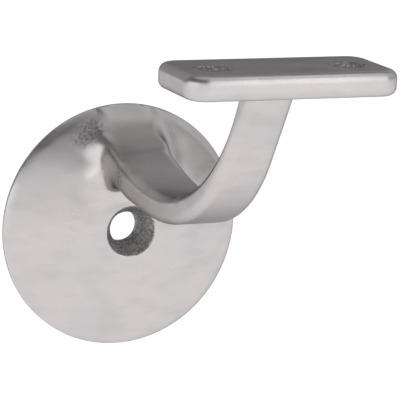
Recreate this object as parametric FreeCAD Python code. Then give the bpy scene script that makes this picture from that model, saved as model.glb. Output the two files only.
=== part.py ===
import FreeCAD, Part
import math
import os

# Handrail bracket, cast in one piece: a domed wall rose, a cranked flat arm that grows out of the
# upper half of the dome, and a flat saddle plate that the rail is screwed to.
# Millimetres. X runs along the rail, Y=0 is the wall and the bracket stands out towards -Y, +Z is up.
# The origin is the middle of the rose's back face. "Reach" below means the distance from the wall.

# --- rose ---------------------------------------------------------------------------------------
rose_radius = 30.0
rose_height = 8.4            # thickness at the middle of the dome
shoulder_height = 2.1        # thickness where the crown ends
shoulder_width = 1.8         # rim band where the dome turns down steeply
rim_land = 0.9               # short straight edge that meets the wall
brow_drop = 1.25             # axis of the bevel over the top rim lies this far below the rose's axis
brow_aside = 0.25            # and this far to the left, as the bevel is ground by hand
brow_tilt = 42.0             # degrees between that bevel and the wall
brow_land = 0.25             # edge that the bevel leaves at the very top
ridge_round = 1.0            # the ridge between bevel and dome is eased by this radius

# --- wall screw hole, through the middle of the rose -----------------------------------------------
wall_hole_radius = 4.0
wall_sink_radius = 6.25
wall_sink_angle = 60.0       # included angle of the cone

# --- saddle plate ---------------------------------------------------------------------------------
plate_length = 48.0
plate_width = 21.8
plate_thickness = 5.5
plate_top = 54.3             # height of the rail face above the rose's axis
plate_reach = 88.0           # reach of the plate's middle
plate_corner_radius = 4.7
plate_top_round = 1.9
plate_bottom_round = 1.8
rail_hole_spacing = 30.5
rail_hole_offset = 1.5       # the holes lie this far in front of the plate's middle
rail_hole_radius = 3.25
rail_sink_radius = 5.2       # countersink in the underside
rail_sink_angle = 90.0

# --- arm ------------------------------------------------------------------------------------------
arm_low_reach = 38.0         # where the arm is lowest
arm_low_height = 16.6        # height of its upper face there
scoop_drop = 1.45            # carried on, the upper face would meet the wall this far below the rose's top
runout_proud = 0.12          # it steepens before that and runs out over the rim, proud of the bevel
runout_radius = 6.0
arm_setback = 7.35           # the bend meets the plate's mid-plane this far behind the plate's middle
arm_low_thickness = 6.55     # at the lowest place
arm_high_thickness = 4.3     # where the underside's bend runs out straight
arm_plate_depth = 9.1        # depth of the arm, level with the plate's mid-plane
under_slope = 4.0            # degrees, the underside falls gently away from the rose
arm_low_half_width = 7.17    # at the lowest place
arm_taper = 0.0245           # half width lost for each millimetre outwards or upwards
arm_edge_radius = 2.1        # round of the long edges, limited by the arm's thickness

# --- blend between the arm and the dome ---------------------------------------------------------
blend_top_radius = 0.6       # where it dies out on the arm's upper edge, in line with the ridge
blend_shoulder_radius = 7.5  # where it leaves that edge and runs down the flank
blend_side_radius = 8.0      # at the flank's lower edge
blend_under_radius = 4.0
blend_top_turn = 43.0        # degrees round the upper edge at which it dies out
blend_end_sink = 0.4         # its ends are buried this deep
blend_top_stations = 5
blend_side_stations = 2
blend_corner_stations = 3

plate_root_radius = 1.6      # fillet where the arm meets the plate's underside
inside = 0.04                # how far blend edges are sunk into their neighbours
blend_root = 1.5             # how far the blend's hidden corner lies inside both of them
clear = 5.0                  # spare length of cutting tools
near = 0.01                  # places closer than this are the same place
just_under_half = 0.49       # so that the two rounds of a thin bar never meet
halvings = 40                # steps in the search for where a ball touches both faces

rail_hole_reach = plate_reach + rail_hole_offset
crown_edge = rose_radius - shoulder_width
crown_rise = rose_height - shoulder_height
crown_radius = (crown_edge ** 2 + crown_rise ** 2) / (2 * crown_rise)
crown_centre = crown_radius - rose_height     # crown arc's centre lies this far behind the wall
scoop_rise = rose_radius - scoop_drop - arm_low_height
scoop_radius = (arm_low_reach ** 2 + scoop_rise ** 2) / (2 * scoop_rise)   # upper face, back to the wall
plate_middle = plate_top - plate_thickness / 2
bend_rise = plate_middle - arm_low_height
bend_run = plate_reach - arm_setback - arm_low_reach
bend_radius = (bend_rise ** 2 + bend_run ** 2) / (2 * bend_rise)      # upper face of the bend
bend_turn = math.atan2(bend_run, bend_radius - bend_rise)             # angle it turns through
bend_height = arm_low_height + bend_radius                            # height of its centre
# the underside's bend is struck from a lower centre, so that the arm thins towards the plate, and it
# turns until it points straight at the place where the arm's front enters the plate's mid-plane
front_run = bend_run + arm_plate_depth
front_drop = bend_radius - bend_rise
under_turn = math.atan2(front_run, front_drop)
under_turn -= math.acos((bend_radius + arm_high_thickness) / math.hypot(front_run, front_drop))
under_drop = (arm_low_thickness - arm_high_thickness) / (1 - math.cos(under_turn))
under_radius = bend_radius + arm_low_thickness - under_drop


def crown_reach(radius):
    """Reach of the dome's crown at a distance from the rose's axis."""
    return math.sqrt(crown_radius ** 2 - radius ** 2) - crown_centre


def point(x, reach, height):
    """A point given by its reach from the wall."""
    return FreeCAD.Vector(x, -reach, height)


def prism_x(edges, half_length):
    """Solid between two equal outlines at -half_length and +half_length along X."""
    face = Part.Face(Part.Wire(edges))
    face.translate(FreeCAD.Vector(-half_length, 0, 0))
    return face.extrude(FreeCAD.Vector(2 * half_length, 0, 0))


def line(start, end):
    return Part.LineSegment(start, end).toShape()


def arc(start, middle, end):
    return Part.Arc(start, middle, end).toShape()


def make_rose():
    """Domed disc: flat back, thin land, steep shoulder and crown, bevelled over its top rim."""
    start = FreeCAD.Vector(crown_edge, -shoulder_height, 0)
    end = FreeCAD.Vector(rose_radius, -rim_land, 0)
    inward = FreeCAD.Vector(0, crown_centre, 0) - start
    inward.normalize()
    chord = end - start
    shoulder_radius = chord.dot(chord) / (2 * chord.dot(inward))
    centre = start + inward * shoulder_radius
    bisector = (start - centre) + (end - centre)
    bisector.normalize()
    top = FreeCAD.Vector(0, -rose_height, 0)
    half_way = crown_edge / 2
    crown_middle = FreeCAD.Vector(half_way, -crown_reach(half_way), 0)
    origin = FreeCAD.Vector(0, 0, 0)
    back_rim = FreeCAD.Vector(rose_radius, 0, 0)
    outline = Part.Wire([
        line(origin, top),
        arc(top, crown_middle, start),
        arc(start, centre + bisector * shoulder_radius, end),
        line(end, back_rim),
        line(back_rim, origin),
    ])
    dome = Part.Face(outline).revolve(origin, FreeCAD.Vector(0, 1, 0), 360)
    return round_ridge(dome.common(make_brow_cone()))


def round_ridge(rose):
    """Ease the ridge where the bevel meets the dome's crown."""
    ridge = []
    for edge in rose.Edges:
        beside = [face for face in rose.Faces if any(other.isSame(edge) for other in face.Edges)]
        kinds = [face.Surface.TypeId for face in beside]
        if "Part::GeomCone" in kinds and "Part::GeomSphere" in kinds:
            ridge.append(edge)
    return rose.makeFillet(ridge_round, ridge)


def make_brow_cone():
    """Cone that bevels the top rim; its axis lies below the rose's, so it misses the rest of the rim."""
    land_radius = math.hypot(brow_aside, rose_radius + brow_drop)
    fall = 1 / math.tan(math.radians(brow_tilt))
    depth = rose_height + clear
    base = land_radius + brow_land * fall
    tip = land_radius - (depth - brow_land) * fall
    return Part.makeCone(base, tip, depth, point(-brow_aside, 0, -brow_drop), FreeCAD.Vector(0, -1, 0))


def on_circle(centre, radius, angle):
    """Point of a circle in the side view, at an angle from straight down, outwards."""
    return centre + point(0, radius * math.sin(angle), -radius * math.cos(angle))


def runout():
    """Upper face next to the rim: ends and middle of the bend, and where the face leaves the rose."""
    tilt = math.radians(brow_tilt)
    fall = point(0, math.sin(tilt), -math.cos(tilt))
    away = point(0, math.cos(tilt), math.sin(tilt))
    crest = point(0, brow_land + runout_proud, rose_radius)
    scoop = point(0, arm_low_reach, arm_low_height + scoop_radius)
    # the bend's centre lies runout_radius off the steep stretch and inside the scoop's circle
    offset = crest + away * runout_radius - scoop
    half = offset.dot(fall)
    travel = -half + math.sqrt(half ** 2 - offset.dot(offset) + (scoop_radius - runout_radius) ** 2)
    centre = crest + away * runout_radius + fall * travel
    to_scoop = centre - scoop
    to_scoop.normalize()
    bisector = to_scoop - away
    bisector.normalize()
    bend = [centre + direction * runout_radius for direction in (away * -1, bisector, to_scoop)]
    wall_end = crest - fall * ((brow_land + runout_proud) / math.sin(tilt))
    return bend, wall_end


def arm_side_profile():
    """Closed side outline of the arm, from the wall up into the plate."""
    slope = math.radians(under_slope)
    scoop = point(0, arm_low_reach, arm_low_height + scoop_radius)
    bend = point(0, arm_low_reach, bend_height)
    under = point(0, arm_low_reach, bend_height - under_drop)
    runout_bend, wall_end = runout()
    lean = math.asin((arm_low_reach + runout_bend[2].y) / scoop_radius)
    heel = point(0, 0, underside_height(0))
    low = on_circle(bend, bend_radius, 0)
    upper_end = on_circle(bend, bend_radius, bend_turn)
    under_end = upper_end + point(0, arm_plate_depth, 0)
    straight_start = on_circle(under, under_radius, under_turn)
    under_start = on_circle(under, under_radius, -slope)
    return [
        line(wall_end, runout_bend[0]),
        arc(runout_bend[0], runout_bend[1], runout_bend[2]),
        arc(runout_bend[2], on_circle(scoop, scoop_radius, -lean / 2), low),
        arc(low, on_circle(bend, bend_radius, bend_turn / 2), upper_end),
        line(upper_end, under_end),
        line(under_end, straight_start),
        arc(straight_start, on_circle(under, under_radius, (under_turn - slope) / 2), under_start),
        line(under_start, heel),
        line(heel, wall_end),
    ]


def underside_height(reach):
    """Height of the straight part of the arm's underside, next to the rose."""
    slope = math.radians(under_slope)
    start = on_circle(point(0, arm_low_reach, bend_height - under_drop), under_radius, -slope)
    return start.z + (-start.y - reach) * math.tan(slope)


def half_width(reach, height):
    """Half of the arm's width, which shrinks outwards and upwards."""
    return arm_low_half_width - arm_taper * ((reach - arm_low_reach) + (height - arm_low_height))


def make_taper_wedge():
    """Wedge with two slanted flanks that trims the arm to its tapering width."""
    span = plate_reach + plate_top
    corners = []
    for along, side in ((0, -1), (0, 1), (span, 1), (span, -1)):
        corners.append(FreeCAD.Vector(side * half_width(along, 0), -along / 2, along / 2))
    corners.append(corners[0])
    face = Part.Face(Part.makePolygon(corners))
    across = FreeCAD.Vector(0, span, span)
    face.translate(across * -1)
    return face.extrude(across * 2)


def make_arm():
    """Arm with rounded long edges, its root trimmed to the rose's rim."""
    arm = prism_x(arm_side_profile(), half_width(0, 0) + clear).common(make_taper_wedge())
    long_edges = []
    for edge in arm.Edges:
        ends = [vertex.Point for vertex in edge.Vertexes]
        along_flank = ends[0].x * ends[1].x > 0
        at_wall = max(abs(p.y) for p in ends) < near
        at_plate = min(p.z for p in ends) > plate_middle - near
        if along_flank and not at_wall and not at_plate:
            long_edges.append(edge)
    arm = arm.makeFillet(min(arm_edge_radius, just_under_half * arm_high_thickness), long_edges)
    rim_zone = Part.makeBox(4 * rose_radius, 2 * rose_height, 4 * rose_radius,
                            point(-2 * rose_radius, rose_height, -2 * rose_radius))
    rim_zone = rim_zone.cut(Part.makeCylinder(rose_radius, 4 * rose_height, point(0, 2 * rose_height, 0),
                                              FreeCAD.Vector(0, 1, 0)))
    return arm.cut(rim_zone)


def find_ball(foot, outward, radius):
    """Middle of a ball that touches the arm and the dome's crown, and how far along the arm it does.

    foot(along) is a place on the arm and outward(along) its normal there; along grows away from the
    wall."""
    crown_middle = FreeCAD.Vector(0, crown_centre, 0)
    low, high = 0.0, arm_low_reach
    for _ in range(halvings):
        along = (low + high) / 2
        ball = foot(along) + outward(along) * radius
        if (ball - crown_middle).Length < crown_radius + radius:
            low = along
        else:
            high = along
    return ball, along


def blend_section(foot, outward, radius, sunk=0.0):
    """Outline across the blend, left by a ball; it can be sunk to bury the blend's ends."""
    ball, along = find_ball(foot, outward, radius)
    to_dome = FreeCAD.Vector(0, crown_centre, 0) - ball
    to_dome.normalize()
    to_arm = outward(along) * -1
    corner = ball + (to_arm + to_dome) * (radius + blend_root)
    between = to_arm + to_dome
    between.normalize()
    ball = ball + between * sunk
    on_arm = ball + to_arm * (radius + inside)
    on_dome = ball + to_dome * (radius + inside)
    hollow = ball + between * radius
    return Part.Wire([arc(on_arm, hollow, on_dome), line(on_dome, corner), line(corner, on_arm)])


def upper_edge(side, turn):
    """Places on the arm's rounded upper edge, and their normals, at an angle up from the flank."""
    scoop = point(0, arm_low_reach, arm_low_height + scoop_radius)

    def outward(along):
        lean = math.asin((arm_low_reach - along) / scoop_radius)
        up = point(0, math.sin(lean), math.cos(lean))
        return FreeCAD.Vector(side * math.cos(turn), 0, 0) + up * math.sin(turn)

    def edge(along):
        lean = math.asin((arm_low_reach - along) / scoop_radius)
        axis = on_circle(scoop, scoop_radius + arm_edge_radius, -lean)
        axis.x = side * (half_width(-axis.y, axis.z) - arm_edge_radius)
        return axis + outward(along) * arm_edge_radius
    return edge, outward


def upper_edge_section(side, share):
    """Outline on the arm's upper edge, from where the blend dies out (share 0) down to the flank."""
    edge, outward = upper_edge(side, math.radians(blend_top_turn) * (1 - share))
    radius = blend_top_radius + (blend_shoulder_radius - blend_top_radius) * share
    return blend_section(edge, outward, radius, 0.0 if share > 0 else blend_end_sink)


def flank_top():
    """Height at which the blend leaves the upper edge."""
    edge, outward = upper_edge(1, 0)
    ball, _ = find_ball(edge, outward, blend_shoulder_radius)
    return ball.z


def flank_section(side, share):
    """Outline on the arm's flank, from the upper edge (share 0) to the lower edge."""
    upper_end = flank_top()
    lower_end = underside_height(rose_height) + arm_edge_radius
    height = upper_end + (lower_end - upper_end) * share
    radius = blend_shoulder_radius + (blend_side_radius - blend_shoulder_radius) * share
    return blend_section(lambda along: point(side * half_width(along, height), along, height),
                         lambda along: FreeCAD.Vector(side, 0, 0), radius)


def lower_edge_section(side, share):
    """Outline round the arm's lower edge, from the flank (share 0) to the underside."""
    turn = share * math.pi / 2
    radius = blend_side_radius + (blend_under_radius - blend_side_radius) * share
    away = FreeCAD.Vector(side * math.cos(turn), 0, -math.sin(turn))

    def edge(along):
        height = underside_height(along) + arm_edge_radius
        axis = point(side * (half_width(along, height) - arm_edge_radius), along, height)
        return axis + away * arm_edge_radius
    return blend_section(edge, lambda along: away, radius)


def blend_half(side):
    """Outlines from the top of one side of the arm down to its underside."""
    sections = [upper_edge_section(side, step / blend_top_stations) for step in range(blend_top_stations)]
    for step in range(blend_side_stations):
        sections.append(flank_section(side, step / blend_side_stations))
    for step in range(blend_corner_stations + 1):
        sections.append(lower_edge_section(side, step / blend_corner_stations))
    return sections


def make_blend():
    """Concave collar that grows down the arm's flanks and runs under the arm."""
    right = blend_half(1)
    left = blend_half(-1)
    left.reverse()

    middle = blend_section(lambda along: point(0, along, underside_height(along)),
                           lambda along: FreeCAD.Vector(0, 0, -1), blend_under_radius)
    return Part.makeLoft(right + [middle] + left, True, False)


def make_wall_hole():
    """Bore with a conical sink that runs straight on above the cone."""
    depth = (wall_sink_radius - wall_hole_radius) / math.tan(math.radians(wall_sink_angle / 2))
    lip = crown_reach(wall_sink_radius)
    towards_rail = FreeCAD.Vector(0, -1, 0)
    bore = Part.makeCylinder(wall_hole_radius, lip + clear, point(0, -clear, 0), towards_rail)
    cone = Part.makeCone(wall_hole_radius, wall_sink_radius, depth, point(0, lip - depth, 0), towards_rail)
    way_in = Part.makeCylinder(wall_sink_radius, arm_low_reach - lip, point(0, lip, 0), towards_rail)
    return bore.fuse([cone, way_in])


def make_plate():
    """Saddle plate with rounded corners and edges."""
    corner = FreeCAD.Vector(-plate_length / 2, -plate_reach - plate_width / 2, plate_top - plate_thickness)
    plate = Part.makeBox(plate_length, plate_width, plate_thickness, corner)
    upright = [e for e in plate.Edges if abs(e.Vertexes[0].Z - e.Vertexes[1].Z) > plate_thickness / 2]
    plate = plate.makeFillet(plate_corner_radius, upright)
    top = [e for e in plate.Edges if e.BoundBox.ZMin > plate_top - near]
    plate = plate.makeFillet(plate_top_round, top)
    bottom = [e for e in plate.Edges if e.BoundBox.ZMax < plate_top - plate_thickness + near]
    return plate.makeFillet(plate_bottom_round, bottom)


def make_rail_holes():
    """Two screw holes through the plate, countersunk from below."""
    underside = plate_top - plate_thickness
    depth = (rail_sink_radius - rail_hole_radius) / math.tan(math.radians(rail_sink_angle / 2))
    cutters = []
    for side in (-1, 1):
        x = side * rail_hole_spacing / 2
        cutters.append(Part.makeCylinder(rail_hole_radius, plate_thickness + 2 * clear,
                                         point(x, rail_hole_reach, underside - clear)))
        mouth = point(x, rail_hole_reach, underside)
        cutters.append(Part.makeCone(rail_sink_radius, rail_hole_radius, depth, mouth))
    return cutters


def round_plate_root(body):
    """Fillet all round the arm where it enters the plate's underside."""
    underside = plate_top - plate_thickness
    root = []
    for edge in body.Edges:
        ends = [vertex.Point for vertex in edge.Vertexes]
        level = max(abs(p.z - underside) for p in ends) < near
        near_arm = max(abs(p.x) for p in ends) < plate_length / 4
        if level and near_arm:
            root.append(edge)
    return body.makeFillet(plate_root_radius, root)


def make_casting():
    body = make_rose().fuse([make_arm(), make_blend(), make_plate()])
    body = round_plate_root(body)
    body = body.cut([make_wall_hole()] + make_rail_holes())
    return body.removeSplitter()


os.makedirs("parts", exist_ok=True)
casting = make_casting()
print("solids", len(casting.Solids), "volume", round(casting.Volume), "valid", casting.isValid())
casting.Solids[0].exportStep("parts/bracket_casting.step")
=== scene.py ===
import math
import bmesh
import bpy
import numpy as np
from mathutils import Matrix, Vector


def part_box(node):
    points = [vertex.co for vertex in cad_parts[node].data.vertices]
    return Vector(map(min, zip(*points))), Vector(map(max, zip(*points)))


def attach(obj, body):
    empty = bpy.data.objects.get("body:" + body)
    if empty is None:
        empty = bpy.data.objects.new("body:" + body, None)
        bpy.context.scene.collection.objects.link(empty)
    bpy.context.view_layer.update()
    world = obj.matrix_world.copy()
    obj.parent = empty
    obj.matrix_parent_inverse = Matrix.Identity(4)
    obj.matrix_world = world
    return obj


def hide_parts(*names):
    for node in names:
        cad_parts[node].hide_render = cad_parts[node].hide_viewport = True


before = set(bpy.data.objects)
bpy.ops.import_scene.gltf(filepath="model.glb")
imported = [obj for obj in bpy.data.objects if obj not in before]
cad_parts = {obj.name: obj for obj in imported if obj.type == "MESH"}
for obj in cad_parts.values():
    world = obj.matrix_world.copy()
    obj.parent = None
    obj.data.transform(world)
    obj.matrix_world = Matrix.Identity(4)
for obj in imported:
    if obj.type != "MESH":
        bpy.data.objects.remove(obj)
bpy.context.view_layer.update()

# Lengths are in metres. The rose stands on the wall at y = 0, round the origin, and the arm comes
# forward from it, towards minus y. A pair of limits says where something starts and where it is full.

# --- viewpoint: seen from the front left and a little above -----------------------------------------
view_turn = math.radians(23.12)
view_rise = math.radians(12.61)
view_roll = math.radians(2.54)
view_distance = 0.600
aim_aside = 0.01975                  # the camera aims this far to the right of the rose's middle
aim_up = 0.00581                     # and this far above it
lens_mm = 220.8
sensor_mm = 36.0

# --- studio -----------------------------------------------------------------------------------------
floor_drop = 0.12                    # the floor lies this far below the rose's axis
floor_size = 14.0
floor_colour = (0.80, 0.80, 0.80, 1)
seen_floor_colour = (0.30, 0.30, 0.30, 1)     # under the glow, where the floor is looked at or mirrored
floor_glow = 0.92                    # white of the floor itself, in the same places
room_colour = (1, 1, 1, 1)
room_level = 0.15                    # grey of the room above the floor
lamp_distance = 1.2

# name, bearing from straight ahead (right is plus), height, width, tall (degrees), brightness
soft_lamps = (
    ("left_window", -76, 11, 62, 22, 1.32),
    ("front_window", -15, 11, 60, 22, 0.84),
    ("right_window", 27, 22, 34, 44, 1.22),
    ("high_window", 56, 56, 40, 24, 0.62),
    ("right_side", 62, 22, 34, 44, 0.27),
    ("right_wall", 110, 22, 62, 44, 0.50),
    ("back_wall", 180, 20, 84, 60, 0.36),
    ("ceiling", 0, 88, 48, 48, 0.40),
)

# --- mesh of the casting ----------------------------------------------------------------------------
weld_distance = 1e-6
face_size = 0.0004
grid_halvings = 8                    # of the box that the even mesh is built in

# --- where the grinder rubs, in rose radii ----------------------------------------------------------
clear_of_wall_hole = (0.24, 0.32)    # out from the rose's axis
clear_of_rim = (0.985, 0.93)         # in towards the axis
clear_of_wall = (0.02, 0.06)         # forward from the wall
close_to_rose = (0.80, 0.55)         # back towards the wall
above_axis = (0.10, 0.30)
left_of_arm_middle = (0.05, -0.12)
inside_left_corner = (-0.60, -0.36)
right_blend_top = ((0.27, -0.22, 0.80), 0.42)         # place, radius
left_blend_foot = ((-0.28, -0.42, 0.36), 0.30)
rub_share = 0.5                      # of the way to the neighbours' mean, in each pass
brow_passes = 16
left_passes = 60                     # more on the left, where no edges are left standing
spot_passes = 110

# marks of the hand grinder: place and radius in rose radii, height in metres
hand_marks = (
    ((0.24, -0.36, 0.75), 0.15, 0.00060),       # fillet left full beside the arm's upper edge
    ((-0.33, -0.17, 0.76), 0.19, 0.00075),      # the blend's upper end, left full under the brow's corner
)
flank_margin = 0.3                   # keeps the marks on flanks, and off the arm's upper face

# --- where the finish changes, and where shade and highlight are painted ----------------------------
# how proud a point stands of its neighbours, in face sizes; hollows get painted shade, sharp proud edges
# get wear and a painted highlight
wear_and_highlight_limits = (0.045, 0.14)
hollow_shade_limits = (-0.02, -0.09)
bend_passes = 10

# the mould's rough skin in the mouths of the holes
rose_height = 0.0084                 # at its middle
wall_sink_radius = 0.00625
plate_width = 0.0218
rail_hole_spacing = 0.0305
rail_hole_offset = 0.0015            # the row of holes lies this far in front of the plate's middle
rail_hole_mouth = 0.0046             # radius of the rough ring round a rail hole
mouth_margin = 0.0003                # each ring fades over twice this
sink_skin_limits = (2.2 * mouth_margin, 1.2 * mouth_margin)   # forward from the rose's height
# places that the grinder couldn't reach, with the skin left; in the pocket under the brow's corner its
# dark specks are also painted shade: place and radius in rose radii, cover
skin_and_shade_spots = (
    ((-0.32, -0.11, 0.80), 0.20, 1.05),
    ((-0.40, -0.10, 0.73), 0.15, 0.90),
    ((-0.26, -0.60, 0.50), 0.20, 0.80),
)

# coarser brushing along the middle of the arm's upper face, in rose radii
brushed_middle = 0.03
brushed_side_limits = (0.26, 0.10)
brushed_reach_limits = (-0.55, -0.30)
brushed_facing_up = 0.5

# --- satin steel ------------------------------------------------------------------------------------
# noise patterns: how many to a metre, detail, roughness, stretch
cloud_noise = (70, 1.5, 0.5)
smear_noise = (150, 1.5, 0.5, (1, 1, 2.2))
line_noise = (420, 2, 0.5, (0.14, 1, 1))
speck_noise = (1700, 3, 0.7)
lump_noise = (1300, 3, 0.65)
# limits in these patterns
cloud_limits = (0.35, 0.65)
smear_limits = (0.45, 0.75)
smear_gloss_limits = (0.35, 0.7)
line_limits = (0.3, 0.7)
speck_limits = (0.36, 0.66)
lump_limits = (0.30, 0.66)
lump_weight = (0.45, 1.4)            # thins and thickens the skin in patches
skin_limits = (0.25, 0.85)
# colours, and how strongly they cover
glancing_tint = (0.33, 0.32, 0.34, 1)
warm_steel = (0.612, 0.572, 0.566, 1)
cool_steel = (0.584, 0.568, 0.571, 1)
smeared_steel = (0.52, 0.492, 0.488, 1)
smear_cover = 0.30
# painted shade: darker steel in the hollows
painted_hollow_shade = (0.36, 0.34, 0.34, 1)
hollow_shade_cover = 0.12
# lighter sharp edges: polish wear, and a painted highlight
worn_and_highlit_steel = (0.70, 0.68, 0.68, 1)
wear_and_highlight_cover = 0.5
dark_speck = (0.24, 0.23, 0.23, 1)
light_speck = (0.57, 0.55, 0.55, 1)
# roughness of the ground steel from cloud to cloud, and what the rest adds to it
cloud_roughness = (0.26, 0.32)
smear_roughness = 0.07
line_roughness = (-0.02, 0.03)
brushed_roughness = 0.14
worn_polish = 0.07                   # taken off
skin_roughness = 0.28
# relief
line_strength = 0.10
line_depth = 0.00003
skin_strength = 0.75
skin_depth = 0.00014


def node(tree, kind, **values):
    """Shader node with its properties and unlinked inputs set."""
    made = tree.nodes.new(kind)
    for name, value in values.items():
        if name in made.inputs:
            made.inputs[name].default_value = value
        else:
            setattr(made, name, value)
    return made


def direction(bearing, height):
    """Unit vector from the object, by bearing and height in degrees."""
    turn, rise = math.radians(bearing), math.radians(height)
    return Vector((math.sin(turn) * math.cos(rise), -math.cos(turn) * math.cos(rise), math.sin(rise)))


def add_camera():
    """Camera that looks past the middle of the rose, with a slight roll."""
    ahead = Vector((math.sin(view_turn) * math.cos(view_rise),
                    math.cos(view_turn) * math.cos(view_rise), -math.sin(view_rise)))
    right = Vector((math.cos(view_turn), -math.sin(view_turn), 0))
    up = right.cross(ahead)
    rolled_right = right * math.cos(view_roll) + up * math.sin(view_roll)
    rolled_up = up * math.cos(view_roll) - right * math.sin(view_roll)
    aim = rolled_right * aim_aside + rolled_up * aim_up
    data = bpy.data.cameras.new("camera")
    data.lens = lens_mm
    data.sensor_width = sensor_mm
    camera = bpy.data.objects.new("camera", data)
    axes = Matrix((rolled_right, rolled_up, -ahead)).transposed().to_4x4()
    camera.matrix_world = Matrix.Translation(aim - ahead * view_distance) @ axes
    bpy.context.collection.objects.link(camera)
    bpy.context.scene.camera = camera


def add_lamp(name, bearing, height, width, tall, brightness):
    """Soft rectangular lamp that fills the given angles as seen from the object."""
    towards = direction(bearing, height)
    data = bpy.data.lights.new(name, "AREA")
    data.shape = "RECTANGLE"
    data.size = 2 * lamp_distance * math.tan(math.radians(width) / 2)
    data.size_y = 2 * lamp_distance * math.tan(math.radians(tall) / 2)
    data.energy = brightness * math.pi * data.size * data.size_y
    lamp = bpy.data.objects.new(name, data)
    lamp.location = towards * lamp_distance
    lamp.rotation_euler = towards.to_track_quat("Z", "Y").to_euler()
    lamp.visible_camera = False
    bpy.context.collection.objects.link(lamp)


def floor_material():
    """White where it is looked at or mirrored, with the shadow kept, and clear from below."""
    material = bpy.data.materials.new("pale_floor")
    material.use_nodes = True
    tree = material.node_tree
    tree.nodes.clear()
    links = tree.links
    output = node(tree, "ShaderNodeOutputMaterial")
    matt = node(tree, "ShaderNodeBsdfDiffuse", Color=floor_colour)
    thin = node(tree, "ShaderNodeBsdfDiffuse", Color=seen_floor_colour)
    glow = node(tree, "ShaderNodeEmission", Strength=floor_glow)
    white = node(tree, "ShaderNodeAddShader")
    path = node(tree, "ShaderNodeLightPath")
    seen = node(tree, "ShaderNodeMath", operation="ADD")
    looked_at = node(tree, "ShaderNodeMath", operation="ADD", use_clamp=True)
    above = node(tree, "ShaderNodeMixShader")
    sides = node(tree, "ShaderNodeNewGeometry")
    clear = node(tree, "ShaderNodeBsdfTransparent")
    both = node(tree, "ShaderNodeMixShader")
    links.new(path.outputs["Is Camera Ray"], seen.inputs[0])
    links.new(path.outputs["Is Glossy Ray"], seen.inputs[1])
    links.new(seen.outputs[0], looked_at.inputs[0])
    links.new(path.outputs["Is Transmission Ray"], looked_at.inputs[1])
    links.new(thin.outputs[0], white.inputs[0])
    links.new(glow.outputs[0], white.inputs[1])
    links.new(looked_at.outputs[0], above.inputs[0])
    links.new(matt.outputs[0], above.inputs[1])
    links.new(white.outputs[0], above.inputs[2])
    links.new(sides.outputs["Backfacing"], both.inputs[0])
    links.new(above.outputs[0], both.inputs[1])
    links.new(clear.outputs[0], both.inputs[2])
    links.new(both.outputs[0], output.inputs["Surface"])
    return material


def add_floor():
    """Wide square floor under the object."""
    half = floor_size / 2
    mesh = bpy.data.meshes.new("floor")
    corners = [(-half, -half), (half, -half), (half, half), (-half, half)]
    mesh.from_pydata([(x, y, -floor_drop) for x, y in corners], [], [(0, 1, 2, 3)])
    mesh.materials.append(floor_material())
    floor = bpy.data.objects.new("floor", mesh)
    bpy.context.collection.objects.link(floor)


def add_room():
    """Even grey light of the room."""
    world = bpy.data.worlds.new("room")
    world.use_nodes = True
    backdrop = world.node_tree.nodes["Background"]
    backdrop.inputs["Color"].default_value = room_colour
    backdrop.inputs["Strength"].default_value = room_level
    bpy.context.scene.world = world


def smooth_step(low, high, value):
    """0 at low and 1 at high, smooth between; low may be the larger of the two."""
    t = np.clip((value - low) / (high - low), 0, 1)
    return t * t * (3 - 2 * t)


def even_copy(source):
    """Mesh of small even faces that lies on the casting's own surface."""
    mesh = source.data.copy()
    build = bmesh.new()
    build.from_mesh(mesh)
    bmesh.ops.remove_doubles(build, verts=build.verts, dist=weld_distance)
    build.to_mesh(mesh)
    build.free()
    piece = bpy.data.objects.new("ground_casting", mesh)
    bpy.context.collection.objects.link(piece)
    even = piece.modifiers.new("even", "REMESH")
    even.mode = "SHARP"                              # keeps the rims of the rose and of the holes crisp
    even.octree_depth = grid_halvings
    even.scale = max(source.dimensions) / (2 ** grid_halvings * face_size)
    even.use_remove_disconnected = False
    even.use_smooth_shade = True
    wrap = piece.modifiers.new("wrap", "SHRINKWRAP")
    wrap.target = source
    graph = bpy.context.evaluated_depsgraph_get()
    plain = bpy.data.meshes.new_from_object(piece.evaluated_get(graph))
    piece.modifiers.clear()
    piece.data = plain
    plain.materials.clear()
    return piece


def neighbours_mean(values, edges):
    """Mean of each point's neighbours."""
    starts, ends = edges.T
    count = np.bincount(edges.ravel(), minlength=len(values))
    total = np.empty_like(values)
    for axis in range(values.shape[1]):
        total[:, axis] = (np.bincount(ends, values[starts, axis], len(values))
                          + np.bincount(starts, values[ends, axis], len(values)))
    return total / count[:, None]


def ease(values, edges, share, passes):
    """Rub down: each value moves towards the mean of its neighbours."""
    for _ in range(passes):
        values += (neighbours_mean(values, edges) - values) * np.reshape(share, (-1, 1))


def near(points, centre, radius):
    """1 at the centre, falling smoothly to 0 at the radius."""
    return smooth_step(radius, 0, np.linalg.norm(points - np.array(centre), axis=1))


def add_mask(mesh, name, values):
    """Store one value for each point, for the material to read."""
    mask = mesh.attributes.new(name, "FLOAT", "POINT")
    mask.data.foreach_set("value", np.ravel(values).astype(np.float32))


def rub_down(points, edges, rose):
    """Ease the brow, its ridge and the blend, which are ground by hand."""
    x, y, z = points.T / rose
    ring = np.hypot(x, z)
    out = -y
    open_front = (smooth_step(*clear_of_wall_hole, ring) * smooth_step(*clear_of_rim, ring)
                  * smooth_step(*clear_of_wall, out))
    by_arm = open_front * smooth_step(*close_to_rose, out) * smooth_step(*above_axis, z)
    left = smooth_step(*left_of_arm_middle, x) * smooth_step(*inside_left_corner, x)
    ease(points, edges, rub_share * by_arm * left, left_passes)
    ease(points, edges, rub_share * by_arm, brow_passes)
    ease(points, edges, rub_share * by_arm * near(points / rose, *right_blend_top), spot_passes)
    ease(points, edges, rub_share * near(points / rose, *left_blend_foot), spot_passes)


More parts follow.
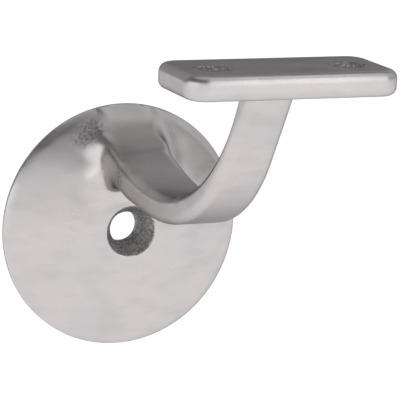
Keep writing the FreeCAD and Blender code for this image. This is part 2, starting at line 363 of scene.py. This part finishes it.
def leave_hand_marks(points, normals, rose):
    """Let the metal stand full in the few places that the grinder passed over lightly."""
    for place, radius, height in hand_marks:
        flank = np.clip(normals[:, 0] * np.sign(place[0]) + flank_margin, 0, 1)
        full = near(points, np.array(place) * rose, radius * rose) * flank * height
        points += normals * full[:, None]


def mould_skin_and_pocket_shade(points, rose, low, high):
    """1 where the mould's rough skin is left, in the mouths of the holes and in the corners; in the
    pocket under the brow it is also painted shade.
    """
    x, y, z = points.T
    skin = smooth_step(wall_sink_radius + mouth_margin, wall_sink_radius - mouth_margin, np.hypot(x, z))
    skin *= smooth_step(*sink_skin_limits, -y - rose_height)
    rail_hole_row = low[1] + plate_width / 2 - rail_hole_offset
    on_plate = z > high[2] / 2
    for side in (-0.5, 0.5):
        apart = np.hypot(x - side * rail_hole_spacing, y - rail_hole_row)
        mouth = smooth_step(rail_hole_mouth + mouth_margin, rail_hole_mouth - mouth_margin, apart)
        skin = np.maximum(skin, mouth * on_plate)
    # the spots in the pocket under the brow also paint in that pocket's shade
    for place, radius, cover in skin_and_shade_spots:
        skin = np.maximum(skin, near(points, np.array(place) * rose, radius * rose) * cover)
    return skin


def ground_casting():
    """The casting as hand grinding leaves it, with the masks that its finish follows, among them painted
    shade in the hollows and a painted highlight on sharp edges.
    """
    piece = even_copy(bpy.data.objects["bracket_casting"])
    mesh = piece.data
    points, edges = np.empty(len(mesh.vertices) * 3), np.empty(len(mesh.edges) * 2, dtype=np.int64)
    mesh.vertices.foreach_get("co", points)
    mesh.edges.foreach_get("vertices", edges)
    points, edges = points.reshape(-1, 3), edges.reshape(-1, 2)
    low, high = (np.array(corner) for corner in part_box("bracket_casting"))
    rose = -low[2]                                   # radius of the rose

    rub_down(points, edges, rose)
    mesh.vertices.foreach_set("co", points.ravel())
    mesh.update()
    normals = np.empty(points.size)
    mesh.vertices.foreach_get("normal", normals)
    normals = normals.reshape(-1, 3)
    leave_hand_marks(points, normals, rose)
    mesh.vertices.foreach_set("co", points.ravel())
    mesh.update()

    bend = np.sum((points - neighbours_mean(points, edges)) * normals, axis=1)[:, None] / face_size
    ease(bend, edges, rub_share, bend_passes)
    # proud sharp edges: wear and a painted highlight; hollows: painted shade
    add_mask(mesh, "worn_and_highlit_edge", smooth_step(*wear_and_highlight_limits, bend))
    add_mask(mesh, "hollow_shade", smooth_step(*hollow_shade_limits, bend))
    add_mask(mesh, "cast_skin_and_pocket_shade", mould_skin_and_pocket_shade(points, rose, low, high))
    from_middle = np.abs(points[:, 0] / rose - brushed_middle)
    across = smooth_step(*brushed_side_limits, from_middle) * (normals[:, 2] > brushed_facing_up)
    add_mask(mesh, "brushed", across * smooth_step(*brushed_reach_limits, points[:, 1] / rose))

    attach(piece, "root")
    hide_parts("bracket_casting")
    return piece


def steel_material():
    """Satin stainless steel: ground by hand, with the rough skin of the mould left in the corners,
    painted shade in the hollows, and sharp edges lighter from wear and a painted highlight.
    """
    material = bpy.data.materials.new("satin_steel")
    material.use_nodes = True
    tree = material.node_tree
    links = tree.links
    shader = tree.nodes["Principled BSDF"]
    shader.inputs["Metallic"].default_value = 1.0
    shader.inputs["Specular Tint"].default_value = glancing_tint
    place = node(tree, "ShaderNodeTexCoord").outputs["Object"]

    def noise(scale, detail, roughness, stretch=None):
        made = node(tree, "ShaderNodeTexNoise", Scale=scale, Detail=detail, Roughness=roughness)
        source = place
        if stretch:
            turned = node(tree, "ShaderNodeMapping", Scale=stretch)
            links.new(place, turned.inputs["Vector"])
            source = turned.outputs["Vector"]
        links.new(source, made.inputs["Vector"])
        return made.outputs["Fac"]

    def mask(name):
        return node(tree, "ShaderNodeAttribute", attribute_name=name).outputs["Fac"]

    def math_of(operation, first, second, clamp=False):
        made = node(tree, "ShaderNodeMath", operation=operation, use_clamp=clamp)
        for socket, value in zip(made.inputs, (first, second)):
            if isinstance(value, (int, float)):
                socket.default_value = value
            else:
                links.new(value, socket)
        return made.outputs[0]

    def ramp(value, start, end, low=0, high=1):
        made = node(tree, "ShaderNodeMapRange", interpolation_type="SMOOTHSTEP")
        for name, number in (("From Min", start), ("From Max", end), ("To Min", low), ("To Max", high)):
            made.inputs[name].default_value = number
        links.new(value, made.inputs["Value"])
        return made.outputs["Result"]

    def mix(factor, first, second):
        made = node(tree, "ShaderNodeMix", data_type="RGBA")
        links.new(factor, made.inputs["Factor"])
        for socket, value in ((made.inputs[6], first), (made.inputs[7], second)):      # the two colours
            if isinstance(value, tuple):
                socket.default_value = value
            else:
                links.new(value, socket)
        return made.outputs[2]                                                         # the mixed colour

    clouds = ramp(noise(*cloud_noise), *cloud_limits)
    smears = noise(*smear_noise)
    lines = noise(*line_noise)
    specks = noise(*speck_noise)
    lumps = noise(*lump_noise)
    # in the pocket under the brow, the dark skin is also painted shade
    patchy_skin = math_of("MULTIPLY", mask("cast_skin_and_pocket_shade"), ramp(lumps, *lump_limits, *lump_weight))
    skin = ramp(patchy_skin, *skin_limits)
    hollow_shade, wear_and_highlight, brushed = mask("hollow_shade"), mask("worn_and_highlit_edge"), mask("brushed")

    ground = mix(clouds, warm_steel, cool_steel)
    ground = mix(ramp(smears, *smear_limits, 0, smear_cover), ground, smeared_steel)
    # painted shade in the hollows
    ground = mix(math_of("MULTIPLY", hollow_shade, hollow_shade_cover), ground, painted_hollow_shade)
    # sharp edges lighter: wear, and a painted highlight
    ground = mix(math_of("MULTIPLY", wear_and_highlight, wear_and_highlight_cover), ground, worn_and_highlit_steel)
    speckle = mix(ramp(specks, *speck_limits), dark_speck, light_speck)
    links.new(mix(skin, ground, speckle), shader.inputs["Base Color"])

    smeared_part = ramp(smears, *smear_gloss_limits, 0, smear_roughness)
    rough = math_of("ADD", ramp(clouds, 0, 1, *cloud_roughness), smeared_part)
    rough = math_of("ADD", rough, ramp(lines, *line_limits, *line_roughness))
    rough = math_of("ADD", rough, math_of("MULTIPLY", brushed, brushed_roughness))
    rough = math_of("SUBTRACT", rough, math_of("MULTIPLY", wear_and_highlight, worn_polish))
    rough = math_of("ADD", rough, math_of("MULTIPLY", skin, skin_roughness), clamp=True)
    links.new(rough, shader.inputs["Roughness"])

    ground_lines = node(tree, "ShaderNodeBump", Strength=line_strength, Distance=line_depth)
    links.new(lines, ground_lines.inputs["Height"])
    sand = node(tree, "ShaderNodeBump", Distance=skin_depth)
    links.new(math_of("MULTIPLY", skin, skin_strength), sand.inputs["Strength"])
    links.new(lumps, sand.inputs["Height"])
    links.new(ground_lines.outputs["Normal"], sand.inputs["Normal"])
    links.new(sand.outputs["Normal"], shader.inputs["Normal"])
    return material


add_camera()
add_floor()
add_room()
for lamp in soft_lamps:
    add_lamp(*lamp)
casting = ground_casting()
casting.data.materials.append(steel_material())
bpy.context.scene.view_settings.view_transform = "Standard"
